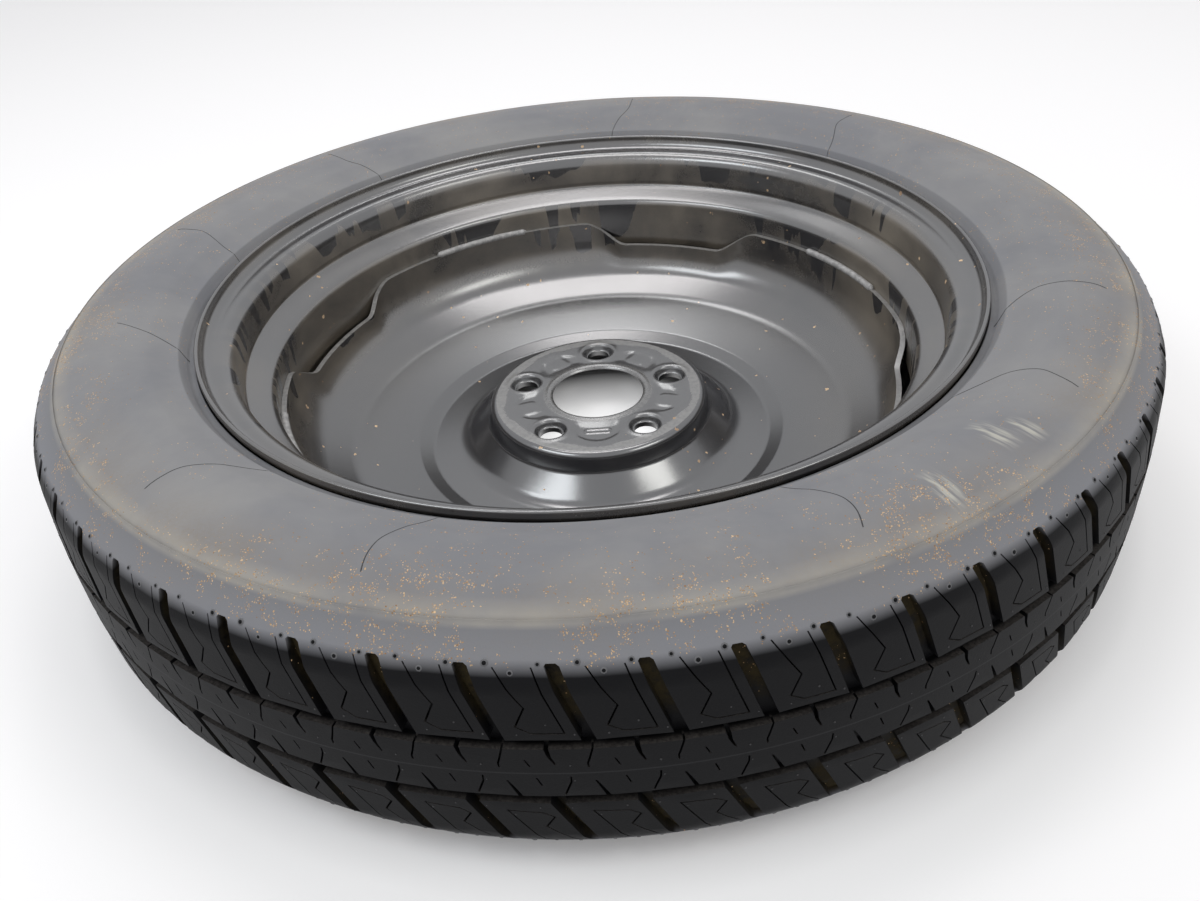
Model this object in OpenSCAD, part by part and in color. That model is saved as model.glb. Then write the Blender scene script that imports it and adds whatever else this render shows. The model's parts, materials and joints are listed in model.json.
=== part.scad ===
// Temporary spare car wheel: narrow tyre on a pressed steel wheel, lying outboard side down.
// Millimetres. The wheel's axis is Z, inboard (hub) side up, tyre resting on z = 0.

/* [Rim] */
// Bead seat diameter, measured where the seat meets the flange
seat_dia = 462; // [430:1:500]
// Width between the two flange walls
rim_width = 101.6; // [96:0.2:112]
// Height of each flange above the bead seat
flange_height = 17.5; // [15:0.5:19]
// Steel thickness of the rim band
rim_sheet = 2.6; // [2:0.1:3.2]
// Depth of the drop centre below the bead seat
well_depth = 17.8; // [16:0.2:20]
// Axial width of the drop centre
well_width = 36; // [30:1:40]
// Axial width of each bead seat
seat_width = 19; // [18:0.5:20]

/* [Disc] */
// Steel thickness of the pressed disc
disc_sheet = 3.4; // [2.8:0.1:4]
// Distance from the wheel's middle plane down to the hub face
hub_offset = 31.5; // [24:0.5:36]
// Diameter of the raised hub pad
hub_pad_dia = 150.4; // [144:0.4:156]
// Diameter of the centre bore
bore_dia = 63.4; // [56:0.2:67]
// Diameter of the circle that the wheel bolts stand on
bolt_circle = 108; // [104:0.5:112]
// Diameter of each wheel bolt hole
bolt_hole_dia = 15.8; // [14:0.2:17]
// Number of wheel bolts
bolt_count = 5; // [4:1:6]
// How far the ring round the hub pad is pressed down below it
bulge_depth = 28.5; // [20:0.5:30]
// Depth of the relief pockets in the hub face
pocket_depth = 1.6; // [1:0.1:2]
// Number of welded flange segments, each between two notches
segment_count = 4; // [3:1:6]
// Depth of each notch below the edge of the disc's flange
notch_depth = 17.9; // [12:0.5:20]

/* [Tyre] */
// Outer diameter of the tyre
tyre_dia = 689; // [670:1:710]
// Overall width of the tyre
tyre_width = 150; // [144:1:160]
// Rubber thickness under the tread grooves
under_tread = 6; // [5:0.5:8]
// Rubber thickness of the sidewall
wall_rubber = 6.5; // [5:0.5:8]
// Depth of the tread grooves
tread_depth = 6; // [4:0.5:7]
// Number of tread blocks round each shoulder
block_count = 57; // [48:1:60]
// Width of the slanted grooves between the shoulder blocks
cross_groove = 6.4; // [5:0.2:8]
// Slant of the inboard row's grooves from the wheel's axis
inboard_slant = 18; // [10:1:26]
// Slant of the outboard row's grooves
outboard_slant = 24; // [10:1:28]
// Width of the two grooves that run round the tyre
ring_groove = 5.4; // [4:0.2:6]
// Distance of those two grooves from the middle of the tread
ring_groove_place = 18.2; // [16:0.2:20]

/* [Valve] */
// Diameter of the valve hole in the rim
valve_hole_dia = 11.3; // [10.5:0.1:11.8]
// Length of the valve outside the rim
valve_length = 33; // [28:0.5:38]
// Travel of the valve pin
pin_travel = 1.2; // [0.8:0.1:1.6]

/* [Hidden] */
$fn = 120;

// Clearances: rubber on steel, steel on steel, thread, bonded faces
rubber_gap = 0.3;
press_gap = 0.15;
thread_gap = 0.1;
bond_gap = 0.05;

// Shared sizes
mid_z = tyre_width / 2;
seat_r = seat_dia / 2;
flange_r = seat_r + flange_height;
wall_h = rim_width / 2;
flange_bend = 6.9;
lip_h = wall_h + flange_bend + rim_sheet + 1.7;
seat_taper = 5;
seat_end_h = wall_h - seat_width;
seat_end_r = seat_r - seat_width * tan(seat_taper);
hump_r = seat_end_r + 0.9;
hump_h = seat_end_h - 5.2;
well_r = seat_r - well_depth;
well_h = well_width / 2;
well_inner_r = well_r - rim_sheet;

// Disc places, measured from the middle plane (negative is outboard)
hub_r = hub_pad_dia / 2;
hub_h = -hub_offset;
bulge_h = hub_h - bulge_depth;
skirt_r = well_inner_r - press_gap - disc_sheet;
edge_h = 3.1;
notch_h = edge_h - notch_depth;
notch_dent = 6;
notch_r = skirt_r - notch_dent;
split_r = skirt_r - 20;
slope_r = skirt_r - 35;
slope_h = hub_h - 15.5;
slope_rise = 0.511;
bowl = slope_r - hub_r;
notch_turn = 69;
notch_turns = [for (i = [0:segment_count - 1]) notch_turn + i * 360 / segment_count];
notch_top = 19.8;
notch_low = 11.7;
notch_half = 13.5;
weld_span = 22;
weld_leg = 4.4;

// Bolt seats: a cone pressed outboard round each hole
bolt_turn = 87;
seat_recess_r = bolt_hole_dia / 2 + 3.8;
seat_recess_deep = 4.2;
seat_low = -disc_sheet - seat_recess_deep + 0.4;
seat_boss_high = 4.4;
nut_cone_r = bolt_hole_dia / 2 + 2;
nut_cone_deep = 1.3;

// Tyre places
tread_r = tyre_dia / 2;
shoulder_r = tread_r - 7.3;
groove_turn = 2;
shoulder_h = tyre_width * 0.389;
groove_floor_r = tread_r - tread_depth;
bead_r = flange_r + 8.4;
side_high = tread_r - bead_r;
inner_tread_r = groove_floor_r - under_tread;
inner_high = inner_tread_r - bead_r;
toe_h = wall_h - 17.5;

// Valve: stands square on the outboard slope of the drop centre
ramp_dr = hump_r - well_r;
ramp_dh = hump_h - well_h;
ramp_tilt = atan2(ramp_dh, ramp_dr);
valve_r = (hump_r + well_r) / 2 - rim_sheet / 2 * sin(ramp_tilt);
valve_h = -(hump_h + well_h) / 2 - rim_sheet / 2 * cos(ramp_tilt);
valve_turn = notch_turn + 180;
base_r = 7.6;
base_thick = 2;
dome_high = 5;
stem_end_r = 5.2;
insert_r = 2.9;
thread_r = 3.85;
thread_long = 9;
core_r = 2.55;
core_long = 7;
barrel_r = 1.6;
barrel_gap = 0.6;
barrel_long = 18;
pin_r = 0.5;
spring_room_r = 1.3;
spring_room = 4 + pin_travel;
collar_thick = 0.6;
collar_low = 1.45 + collar_thick;
valve_top = rim_sheet / 2 + valve_length;
core_top = valve_top - pin_travel;
pin_proud = pin_travel - 0.4;
pin_foot = 1.8;
cap_wall = 0.95;
cap_top = 1.6;
seal_thick = 0.9;

// Rounded profiles of bent sheet and moulded rubber

function unit(v) = v / norm(v);
function left(v) = [-v[1], v[0]];
function side(a, b, c) = sign((b - a)[0] * (c - b)[1] - (b - a)[1] * (c - b)[0]);

// The arc that rounds corner b with radius r, as points
function corner(a, b, c, r) =
    let (u = unit(a - b), v = unit(c - b), half = acos(max(-1, min(1, u * v))) / 2)
    r < 0.01 || half > 89.5 ? [b] :
    let (mid = b + unit(u + v) * r / sin(half),
         from = b + u * r / tan(half) - mid,
         sweep = side(a, b, c) * (180 - 2 * half),
         steps = max(2, ceil(abs(sweep) / 12)),
         start = atan2(from[1], from[0]))
    [for (i = [0:steps]) mid + r * [cos(start + sweep * i / steps), sin(start + sweep * i / steps)]];

// A path with each inner corner rounded by its own radius
function rounded(path, radii) =
    let (last = len(path) - 1)
    [for (i = [0:last]) each (i == 0 || i == last ? [path[i]]
        : corner(path[i - 1], path[i], path[i + 1], radii[i]))];

// The same path moved sideways by t, to the left of its direction
function beside(path, t) =
    let (last = len(path) - 1)
    [for (i = [0:last])
        let (n = left(unit(path[min(i + 1, last)] - path[min(i, last - 1)])),
             m = left(unit(path[max(i, 1)] - path[max(i - 1, 0)])))
        path[i] + t * (n + m) / (1 + n * m)];

function reversed(list) = [for (i = [len(list) - 1:-1:0]) list[i]];

// Section of sheet t thick to the left of the path; each radius is the bend's inner one
module sheet(path, radii, t) {
    last = len(path) - 1;
    turns = [for (i = [0:last]) i == 0 || i == last ? 0 : side(path[i - 1], path[i], path[i + 1])];
    near = [for (i = [0:last]) turns[i] > 0 ? radii[i] + t : radii[i]];
    far = [for (i = [0:last]) turns[i] > 0 ? radii[i] : radii[i] + t];
    polygon(concat(rounded(path, near), reversed(rounded(beside(path, t), far))));
}

function mirrored(path) = [for (p = reversed(path)) [p[0], -p[1]]];

module turned(start = 0, angle = 360) {
    translate([0, 0, mid_z])
        rotate([0, 0, start])
            rotate_extrude(angle = angle)
                children();
}

// Rim, from one flange lip to the other

rim_half = [[flange_r, lip_h],
            [flange_r, wall_h],
            [seat_r, wall_h],
            [seat_end_r, seat_end_h],
            [hump_r, hump_h],
            [well_r, well_h]];
rim_bends = [0, flange_bend, 6.5, 3, 2.4, 3];

module rim() {
    color([0.03, 0.03, 0.035])
        difference() {
            turned()
                sheet(reversed(concat(rim_half, mirrored(rim_half))),
                      reversed(concat(rim_bends, reversed(rim_bends))), rim_sheet);
            on_valve()
                cylinder(h = 6 * rim_sheet, d = valve_hole_dia, center = true);
        }
}

// Disc, from the bore out to its flange, and the same at a notch

disc_inner = [[bore_dia / 2, hub_h],
              [hub_r, hub_h],
              [hub_r + 2.6, hub_h - 13.5],
              [hub_r + 0.21 * bowl, bulge_h],
              [hub_r + 0.454 * bowl, bulge_h],
              [hub_r + 0.558 * bowl, bulge_h + 0.045 * bowl],
              [slope_r, slope_h]];
disc_bends = [0, 1.6, 5, 0.145 * bowl, 0.083 * bowl, 0.093 * bowl, 0.31 * bowl];
flange_path = [[skirt_r, slope_h + (skirt_r - slope_r) * slope_rise], [skirt_r, edge_h]];
notch_path = [[notch_r, slope_h + (notch_r - slope_r) * slope_rise], [notch_r, notch_h]];

module disc_section(rim_part, bend) {
    sheet(reversed(concat(disc_inner, rim_part)), reversed(concat(disc_bends, [bend, 0])), disc_sheet);
}

// What a notch replaces of the section near its outer end; the seam reaches into the rest of it
module outer_band(seam = 0) {
    translate([split_r - seam, -mid_z])
        square([skirt_r - split_r + seam + 2 * disc_sheet, 2 * mid_z]);
}

// Flange segments, bowl and hub pad: one pressing whose edge dips in and down at each notch
module pressing() {
    difference() {
        turned()
            disc_section(flange_path, 32);
        for (turn = notch_turns) {
            turned(turn - notch_half, 2 * notch_half)
                outer_band();
            notch_cut(turn);
        }
    }
    for (turn = notch_turns)
        turned(turn - notch_half, 2 * notch_half)
            intersection() {
                disc_section(notch_path, 20);
                outer_band(seam = 1);
            }
}

module notch_cut(turn) {
    top = skirt_r * sin(notch_top);
    low = skirt_r * sin(notch_low);
    translate([0, 0, mid_z])
        rotate([0, 0, turn])
            translate([split_r, 0, 0])
                rotate([90, 0, 90])
                    linear_extrude(height = 60)
                        polygon([[-low, notch_h], [low, notch_h], [top, edge_h + 0.1], [top, mid_z],
                                 [-top, mid_z], [-top, edge_h + 0.1]]);
}

module at_bolts() {
    for (i = [0:bolt_count - 1])
        rotate([0, 0, bolt_turn + i * 360 / bolt_count])
            translate([bolt_circle / 2, 0, mid_z + hub_h])
                children();
}

module at_pockets() {
    for (i = [0:bolt_count - 1])
        rotate([0, 0, bolt_turn + (i + 0.5) * 360 / bolt_count])
            translate([0, 0, mid_z + hub_h])
                children();
}

module disc() {
    color([0.03, 0.03, 0.035])
        difference() {
            union() {
                pressing();
                at_bolts()
                    translate([0, 0, seat_low])
                        cylinder(h = seat_boss_high, r1 = seat_recess_r + 0.6, r2 = seat_recess_r + 3);
            }
            at_bolts() {
                translate([0, 0, -seat_recess_deep])
                    cylinder(h = seat_recess_deep + 0.01, r1 = bolt_hole_dia / 2 + 0.9, r2 = seat_recess_r);
                cylinder(h = 40, d = bolt_hole_dia, center = true);
                translate([0, 0, seat_low - 0.01])
                    cylinder(h = nut_cone_deep, r1 = nut_cone_r, r2 = bolt_hole_dia / 2 - 0.1);
            }
            at_pockets()
                pocket();
        }
}

// Relief between two bolt seats, leaving a low raised pad in its middle
module pocket() {
    difference() {
        translate([0, 0, -pocket_depth])
            rotate([0, 0, -19])
                rotate_extrude(angle = 38)
                    translate([bore_dia / 2 + 8, 0])
                        square([hub_r - bore_dia / 2 - 20.5, pocket_depth + 1]);
        translate([bolt_circle / 2, 0, -pocket_depth])
            cylinder(h = pocket_depth * 0.65, r1 = 7.2, r2 = 6.4);
    }
}

// Weld beads in the corner between the disc's edge and the rim

module disc_welds() {
    color([0.12, 0.12, 0.12])
        for (i = [0:segment_count - 1])
            turned(notch_turn + (i + 0.5) * 360 / segment_count - weld_span / 2, weld_span)
                intersection() {
                    translate([well_inner_r - press_gap, edge_h])
                        circle(r = weld_leg);
                    translate([well_inner_r - press_gap - weld_leg, edge_h])
                        square(weld_leg);
                }
}

// Half of the tyre's section: outside from the tread to the bead, then inside back to the tread

tyre_outer = [[tread_r, 0],
              [tread_r - 0.2, ring_groove_place - ring_groove / 2],
              [groove_floor_r, ring_groove_place - ring_groove / 2 + 0.6],
              [groove_floor_r, ring_groove_place + ring_groove / 2 - 0.6],
              [tread_r - 0.4, ring_groove_place + ring_groove / 2],
              [tread_r - 2.1, shoulder_h - 10],
              [shoulder_r, shoulder_h],
              [tread_r - 0.263 * side_high, mid_z - 0.051 * side_high],
              [bead_r + 0.54 * side_high, mid_z],
              [bead_r + 0.357 * side_high, mid_z],
              [bead_r + 0.178 * side_high, mid_z - 0.045 * side_high],
              [bead_r, lip_h + 2],
              [flange_r + 4, lip_h - 5.5],
              [flange_r + rubber_gap, lip_h - 4.4],
              [flange_r + rubber_gap, wall_h - rubber_gap],
              [seat_r + rubber_gap, wall_h - rubber_gap],
              [seat_r + rubber_gap - (wall_h - toe_h) * tan(seat_taper), toe_h]];
tyre_outer_bends = [0, 0, 0.5, 0.5, 0, 9, 14, 0.2 * side_high, 0.34 * side_high, 0.34 * side_high,
                    0.3 * side_high, 2.5, 1.6, 0.4, flange_bend - 0.5, 6.2, 1];
tyre_inner = [[seat_r + 6.5, toe_h - 1],
              [flange_r + 6, wall_h - 1],
              [bead_r + 0.115 * inner_high, mid_z - wall_rubber - 0.066 * inner_high],
              [bead_r + 0.52 * inner_high, mid_z - wall_rubber],
              [bead_r + 0.75 * inner_high, mid_z - wall_rubber - 0.053 * inner_high],
              [inner_tread_r, shoulder_h - 14],
              [inner_tread_r, 0]];
tyre_inner_bends = [1.5, 14, 0.21 * inner_high, 0.34 * inner_high, 0.21 * inner_high, 0.16 * inner_high, 0];

// Sidewalls, beads, shoulders and the two grooves round the tread
module carcass() {
    half = rounded(concat(tyre_outer, tyre_inner), concat(tyre_outer_bends, tyre_inner_bends));
    turned()
        polygon(concat(half, [for (p = reversed(half)) if (p[1] > 0) [p[0], -p[1]]]));
}

// Cutter for one slanted groove, starting at a ring groove at angle 0: it follows the tread,
// then drops over the shoulder
module cross_cut(slant) {
    from = ring_groove_place / cos(slant);
    over = (shoulder_h - 13) / cos(slant);
    to = (shoulder_h + 0.6) / cos(slant);
    rotate([slant, 0, asin(ring_groove_place * tan(slant) / tread_r)])
        rotate([90, 0, 0])
            linear_extrude(height = cross_groove, center = true)
                polygon([[groove_floor_r, from], [groove_floor_r - 0.6, over], [shoulder_r - 3.6, to],
                         [tread_r + 9, to], [tread_r + 9, from]]);
}

module tyre() {
    step = 360 / block_count;
    color([0.07, 0.07, 0.075])
        difference() {
            carcass();
            translate([0, 0, mid_z])
                for (i = [0:block_count - 1]) {
                    rotate([0, 0, groove_turn + i * step])
                        cross_cut(inboard_slant);
                    rotate([0, 0, groove_turn + (i + 0.5) * step])
                        rotate([180, 0, 0])
                            cross_cut(outboard_slant);
                }
        }
}

// Places its children on the valve's axis, with z = 0 in the middle of the rim's steel, +Z out of the rim
module on_valve() {
    rotate([0, 0, valve_turn])
        translate([valve_r, 0, mid_z + valve_h])
            rotate([0, 180 + ramp_tilt, 0])
                children();
}

module revolved(points) {
    rotate_extrude($fn = 60)
        polygon(points);
}

module valve_stem() {
    skin = rim_sheet / 2 + 0.1;
    color([0.05, 0.05, 0.05])
        on_valve()
            difference() {
                union() {
                    revolved([[0, -skin - dome_high], [3.4, -skin - dome_high], [base_r - 0.8, -skin - 2.2],
                              [base_r, -skin - 1], [base_r, -skin], [0, -skin]]);
                    translate([0, 0, -skin])
                        cylinder(h = 2 * skin, d = valve_hole_dia - 2 * press_gap);
                    revolved([[0, skin], [base_r, skin], [base_r, skin + base_thick],
                              [base_r - 1.4, skin + base_thick + 2], [stem_end_r, valve_top - thread_long],
                              [0, valve_top - thread_long]]);
                }
                cylinder(h = 3 * valve_length, r = insert_r + bond_gap, center = true);
            }
}

module valve_insert() {
    low = -rim_sheet / 2 - dome_high + 1;
    color([0.72, 0.58, 0.3])
        on_valve()
            difference() {
                union() {
                    translate([0, 0, low])
                        cylinder(h = valve_top - low, r = insert_r);
                    translate([0, 0, valve_top - thread_long + bond_gap])
                        cylinder(h = thread_long - bond_gap, r = thread_r);
                }
                translate([0, 0, valve_top - core_long - 2])
                    cylinder(h = core_long + 3, r = core_r + bond_gap);
                translate([0, 0, low - 1])
                    cylinder(h = 3 * valve_length, r = barrel_r + barrel_gap);
            }
}

module valve_core() {
    color([0.75, 0.62, 0.35])
        on_valve()
            difference() {
                union() {
                    translate([0, 0, core_top - core_long])
                        cylinder(h = core_long, r = core_r);
                    translate([0, 0, core_top - barrel_long])
                        cylinder(h = barrel_long - 1, r = barrel_r);
                }
                translate([0, 0, core_top - barrel_long - 1])
                    cylinder(h = barrel_long + 2, r = pin_r + 0.25);
                translate([0, 0, core_top - 1.4 - spring_room])
                    cylinder(h = spring_room, r = spring_room_r);
            }
}

module core_seal() {
    color([0.85, 0.2, 0.15])
        on_valve()
            translate([0, 0, core_top - core_long - 2.6])
                difference() {
                    cylinder(h = 1.9, r = barrel_r + barrel_gap - bond_gap);
                    cylinder(h = 10, r = barrel_r + bond_gap, center = true);
                }
}

module valve_pin() {
    foot = core_top - barrel_long;
    color([0.8, 0.68, 0.4])
        on_valve() {
            translate([0, 0, foot - pin_foot])
                cylinder(h = pin_foot + barrel_long + pin_proud, r = pin_r);
            translate([0, 0, foot - pin_foot])
                cylinder(h = pin_foot - bond_gap, r = barrel_r - 0.2);
            translate([0, 0, core_top - collar_low])
                cylinder(h = collar_thick, r = spring_room_r - 0.15);
        }
}

// Square-section coil between the floor of the core's chamber and the pin's collar
module pin_spring() {
    floor = core_top - 1.4 - spring_room;
    color([0.8, 0.8, 0.82])
        on_valve()
            translate([0, 0, floor + bond_gap])
                linear_extrude(height = core_top - collar_low - floor - 2 * bond_gap,
                               twist = -360 * 4, slices = 64, $fn = 12)
                    polygon(concat([for (a = [-50:50:50]) (spring_room_r - 0.15) * [cos(a), sin(a)]],
                                   [for (a = [50:-50:-50]) (pin_r + 0.2) * [cos(a), sin(a)]]));
}

module valve_cap() {
    inner = thread_r + thread_gap;
    bottom = valve_top - thread_long + 0.6;
    top = valve_top + seal_thick + 0.4 + cap_top;
    color([0.04, 0.04, 0.04])
        on_valve()
            difference() {
                translate([0, 0, bottom])
                    cylinder(h = top - bottom, r = inner + cap_wall);
                translate([0, 0, bottom - 1])
                    cylinder(h = top - cap_top - bottom + 1, r = inner);
                for (i = [0:15])
                    rotate([0, 0, i * 22.5])
                        translate([inner + cap_wall + 0.25, 0, bottom - 1])
                            cylinder(h = top - bottom - 1, r = 0.6, $fn = 24);
            }
}

module cap_seal() {
    color([0.2, 0.2, 0.2])
        on_valve()
            translate([0, 0, valve_top + 0.3])
                cylinder(h = seal_thick, r = thread_r - 0.1);
}

tyre();
rim();
disc();
disc_welds();
valve_stem();
valve_insert();
valve_core();
core_seal();
valve_pin();
pin_spring();
valve_cap();
cap_seal();
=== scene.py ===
import json
from contextlib import contextmanager
from math import acos, atan2, ceil, copysign, cos, hypot, pi, radians, sin, sqrt, tan, tau

import bmesh
import bpy
import numpy as np
from mathutils import Matrix, Vector, geometry

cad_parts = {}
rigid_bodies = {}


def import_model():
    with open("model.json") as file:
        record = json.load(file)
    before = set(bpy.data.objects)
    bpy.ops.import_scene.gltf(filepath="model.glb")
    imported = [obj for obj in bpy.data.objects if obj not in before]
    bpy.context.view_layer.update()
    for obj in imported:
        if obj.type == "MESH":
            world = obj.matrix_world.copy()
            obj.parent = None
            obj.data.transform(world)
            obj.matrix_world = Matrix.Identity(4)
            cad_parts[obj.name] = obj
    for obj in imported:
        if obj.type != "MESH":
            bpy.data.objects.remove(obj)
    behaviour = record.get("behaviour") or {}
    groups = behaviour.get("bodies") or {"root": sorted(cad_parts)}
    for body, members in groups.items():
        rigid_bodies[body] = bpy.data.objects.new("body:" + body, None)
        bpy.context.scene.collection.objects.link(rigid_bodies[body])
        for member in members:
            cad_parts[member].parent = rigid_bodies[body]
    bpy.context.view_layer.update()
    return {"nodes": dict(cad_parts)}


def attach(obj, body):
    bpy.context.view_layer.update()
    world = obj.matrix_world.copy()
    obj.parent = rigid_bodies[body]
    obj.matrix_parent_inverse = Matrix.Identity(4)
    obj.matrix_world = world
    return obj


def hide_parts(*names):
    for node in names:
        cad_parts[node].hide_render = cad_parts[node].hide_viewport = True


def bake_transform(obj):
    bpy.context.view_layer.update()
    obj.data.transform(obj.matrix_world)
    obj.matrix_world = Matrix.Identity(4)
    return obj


for spare in list(bpy.data.objects):
    bpy.data.objects.remove(spare)
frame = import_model()
print("frame loaded:", len(frame["nodes"]), "nodes")

mm = 0.001
midZ = 75.0  # height of the wheel's middle plane over the floor, in mm
rng = np.random.default_rng(7)


# Helpers for meshes

def corner(a, b, c, radius, steps):
    u, v = (a - b) / np.linalg.norm(a - b), (c - b) / np.linalg.norm(c - b)
    half = acos(max(-1.0, min(1.0, float(u @ v)))) / 2
    if radius < 0.01 or half > radians(89.5):
        return [b] * (steps + 1)
    mid = b + (u + v) / np.linalg.norm(u + v) * radius / sin(half)
    start = b + u * radius / tan(half) - mid
    turn = copysign(pi - 2 * half, (b - a)[0] * (c - b)[1] - (b - a)[1] * (c - b)[0])
    angles = atan2(start[1], start[0]) + turn * np.linspace(0, 1, steps + 1)
    return [mid + radius * np.array([cos(x), sin(x)]) for x in angles]


def roundedPath(points, radii, arcSteps=8, gap=None):
    # Rounds each inner corner. With gap, straight runs are cut into pieces no longer than gap
    points = [np.array(p, float) for p in points]
    steps = arcSteps if isinstance(arcSteps, (list, tuple)) else [arcSteps if r > 0.01 else 0 for r in radii]
    made = [points[0]]
    for i in range(1, len(points) - 1):
        made += corner(points[i - 1], points[i], points[i + 1], radii[i], steps[i])
    made.append(points[-1])
    if gap is None:
        return np.array(made)
    out = [made[0]]
    for p in made[1:]:
        n = max(1, ceil(np.linalg.norm(p - out[-1]) / gap))
        out += [out[-1] + (p - out[-1]) * (k + 1) / n for k in range(n)]
    return np.array(out)


def sideways(path, t):
    d = np.diff(path, axis=0)
    d = d / np.linalg.norm(d, axis=1)[:, None]
    n = np.stack([-d[:, 1], d[:, 0]], 1)
    before, after = np.vstack([n[:1], n]), np.vstack([n, n[-1:]])
    return path + t * (before + after) / (1 + (before * after).sum(1))[:, None]


def atTurn(r, angle, h):
    # Point in metres from a radius, an angle and a height over the middle plane, in mm
    return (r * cos(angle) * mm, r * sin(angle) * mm, (midZ + h) * mm)


def ringOf(radius, count):
    a = np.arange(count) * tau / count
    return radius * np.cos(a), radius * np.sin(a)


def gridFaces(start, rows, columns, closedRows=False, closedColumns=False, flip=False):
    # Quads between rows of points numbered from start. A closed side joins its last points to its first
    faces = []
    for i in range(rows - (not closedRows)):
        here, there = start + i * columns, start + (i + 1) % rows * columns
        for k in range(columns - (not closedColumns)):
            n = (k + 1) % columns
            across = (here + k, here + n, there + n, there + k)
            faces.append((here + k, there + k, there + n, here + n) if flip else across)
    return faces


def tubeFaces(start, rows, around):
    # The same along a tube, with one face over each end
    last = start + (rows - 1) * around
    ends = [tuple(range(start, start + around)), tuple(reversed(range(last, last + around)))]
    return gridFaces(start, rows, around, closedColumns=True) + ends


def sceneObject(name, data):
    made = bpy.data.objects.new(name, data)
    bpy.context.scene.collection.objects.link(made)
    return made


def meshObject(name, verts, faces, material=None, sharp=None, attributes=None):
    mesh = bpy.data.meshes.new(name)
    mesh.from_pydata([tuple(v) for v in verts], [], [tuple(f) for f in faces])
    mesh.polygons.foreach_set("use_smooth", [True] * len(mesh.polygons))
    for key, values in (attributes or {}).items():
        mesh.attributes.new(key, "FLOAT", "POINT").data.foreach_set("value", values)
    if sharp is not None:
        wanted = {tuple(sorted(e)) for e in sharp}
        marks = [tuple(sorted(e.vertices)) in wanted for e in mesh.edges]
        mesh.edges.foreach_set("use_edge_sharp", marks)
    mesh.validate()
    mesh.update()
    if material:
        mesh.materials.append(material)
    return sceneObject(name, mesh)


@contextmanager
def meshEdit(made):
    bm = bmesh.new()
    bm.from_mesh(made.data)
    yield bm
    bm.to_mesh(made.data)
    bm.free()


def markSharp(made, degrees):
    # Keeps edges sharper than the angle crisp under smooth shading
    with meshEdit(made) as bm:
        for edge in bm.edges:
            edge.smooth = len(edge.link_faces) == 2 and edge.calc_face_angle(0) < radians(degrees)


def outwards(made):
    with meshEdit(made) as bm:
        bmesh.ops.recalc_face_normals(bm, faces=bm.faces)


def triangleCount(made):
    return sum(len(p.vertices) - 2 for p in made.data.polygons)


def plainMesh(made, name):
    # Turns the evaluated object into a mesh with no modifiers
    graph = bpy.context.evaluated_depsgraph_get()
    mesh = bpy.data.meshes.new_from_object(made.evaluated_get(graph))
    made.modifiers.clear()
    made.data = mesh
    made.name = mesh.name = name
    return made


# Helpers for node trees

class nodesOf:
    # Adds nodes to one tree. Most calls give the socket that carries the result
    def __init__(self, tree):
        self.tree = tree

    def fill(self, sockets, values):
        for key, value in values.items():
            if isinstance(value, bpy.types.NodeSocket):
                self.tree.links.new(value, sockets[key])
            else:
                sockets[key].default_value = value

    def add(self, kind, inputs=None, **settings):
        node = self.tree.nodes.new(kind)
        for key, value in settings.items():
            setattr(node, key, value)
        self.fill(node.inputs, inputs or {})
        return node.outputs

    def math(self, operation, *values):
        return self.add("ShaderNodeMath", dict(enumerate(values)), operation=operation)[0]

    def times(self, product, *factors):
        for factor in factors:
            product = self.math("MULTIPLY", product, factor)
        return product

    def ramp(self, value, low, high, a=0.0, b=1.0):
        return self.add("ShaderNodeMapRange", {"Value": value, "From Min": low, "From Max": high,
                                               "To Min": a, "To Max": b}, clamp=True)["Result"]

    def mix(self, share, a, b):
        return self.add("ShaderNodeMix", {0: share, 6: a, 7: b}, data_type="RGBA")[2]

    def noise(self, where, scale, detail=3.0, roughness=0.55, distortion=0.0):
        return self.add("ShaderNodeTexNoise", {"Vector": where, "Scale": scale, "Detail": detail,
                                               "Roughness": roughness, "Distortion": distortion})["Fac"]

    def bump(self, height, strength, distance):
        return self.add("ShaderNodeBump", {"Height": height, "Strength": strength, "Distance": distance})[0]

    def apart(self, vector):
        return self.add("ShaderNodeSeparateXYZ", {"Vector": vector})

    def joined(self, **parts):
        return self.add("ShaderNodeCombineXYZ", parts)[0]

    def facing(self, kind):
        # Upward part of the surface's own direction
        return self.apart(self.add("ShaderNodeNewGeometry")[kind])["Z"]

    def attribute(self, name):
        return self.add("ShaderNodeAttribute", attribute_name=name)["Fac"]

    def use(self, group, **inputs):
        return self.add("ShaderNodeGroup", inputs, node_tree=group)

    def polar(self, where):
        # Distance from the wheel's axis, angle about it in radians, and height, in metres
        parts = self.apart(where)
        flat = self.joined(X=parts["X"], Y=parts["Y"])
        radius = self.add("ShaderNodeVectorMath", {0: flat}, operation="LENGTH")["Value"]
        return radius, self.math("ARCTAN2", parts["Y"], parts["X"]), parts["Z"]


def makeTree(family, name, inputs, outputs, build):
    # Node group with named sockets. An input is its name, its kind and perhaps a default
    tree = bpy.data.node_groups.new(name, family + "NodeTree")
    for key, kind, *default in inputs:
        socket = tree.interface.new_socket(key, in_out="INPUT", socket_type="NodeSocket" + kind)
        if default:
            socket.default_value = default[0]
    for key in outputs:
        kind = "Float" if key == "Mask" else key
        tree.interface.new_socket(key, in_out="OUTPUT", socket_type="NodeSocket" + kind)
    start, end = tree.nodes.new("NodeGroupInput"), tree.nodes.new("NodeGroupOutput")
    nodesOf(tree).fill(end.inputs, build(nodesOf(tree), start.outputs))
    return tree


def newMaterial(name):
    material = bpy.data.materials.new(name)
    material.use_nodes = True
    n = nodesOf(material.node_tree)
    return material, n, n.tree.nodes["Principled BSDF"].inputs, n.add("ShaderNodeTexCoord")["Object"]


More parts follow.
